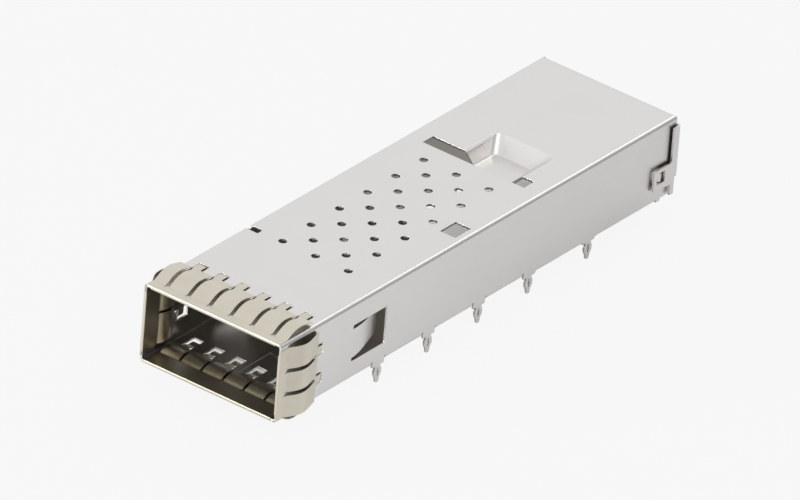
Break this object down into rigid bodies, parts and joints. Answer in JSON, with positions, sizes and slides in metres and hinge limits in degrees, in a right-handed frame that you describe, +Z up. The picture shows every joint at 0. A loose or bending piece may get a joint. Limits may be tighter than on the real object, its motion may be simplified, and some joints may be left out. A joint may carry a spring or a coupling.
{
  "type": "qsfp-dd cage",
  "caption": "Folded sheet metal cage that holds one pluggable module, with spring strips round its mouth and press-fit pins for a circuit board.",
  "frame": {"origin": "in the circuit board's top surface, at the middle of the cage's width and at the front face of the mouth", "axes": "+Y from the mouth to the rear wall, +Z up from the circuit board, +X to the right seen from the mouth"},
  "size_m": [0.0208, 0.0711, 0.0131],
  "materials": {
    "shell_sheet": "nickel plated sheet, satin",
    "spring_strip": "plated copper alloy spring, satin champagne"
  },
  "bodies": {
    "root": {"cage_shell": "shell_sheet", "emi_strip_top": "spring_strip", "emi_strip_bottom": "spring_strip", "emi_strip_left": "spring_strip", "emi_strip_right": "spring_strip"}
  },
  "joints": []
}
